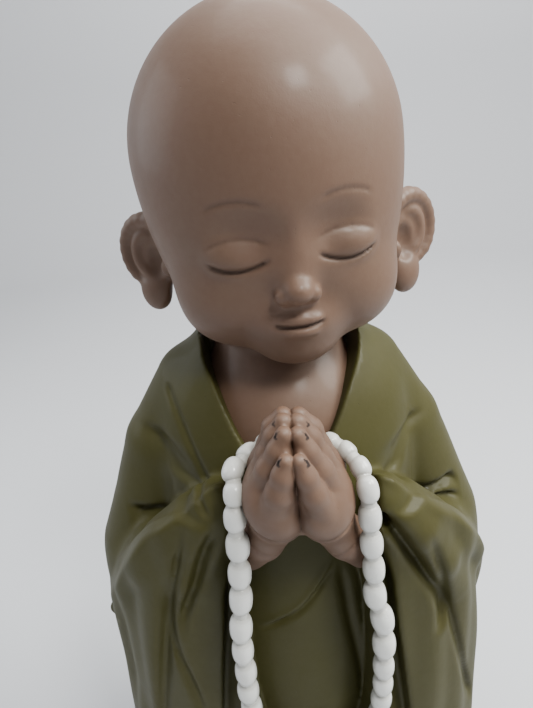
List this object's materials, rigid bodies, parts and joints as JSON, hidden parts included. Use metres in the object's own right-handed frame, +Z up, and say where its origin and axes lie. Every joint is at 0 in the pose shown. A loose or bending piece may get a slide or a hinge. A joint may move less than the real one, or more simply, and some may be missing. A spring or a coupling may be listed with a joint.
{
  "type": "praying child monk figurine",
  "caption": "Standing child monk with palms pressed together in a wide-sleeved robe, a bead strand hanging from the hands, on a low oval plinth.",
  "frame": {"origin": "on the ground, at the centre of the plinth's flat underside", "axes": "+Z up through the figure, -Y the way the figure faces, +X towards the figure's own left hand"},
  "size_m": [0.2006, 0.17, 0.3999],
  "materials": {
    "painted_resin": "painted cast resin, satin: brown skin, olive green robe, glossy white beads, dark plinth"
  },
  "bodies": {
    "root": {"figure": "painted_resin"}
  },
  "joints": []
}
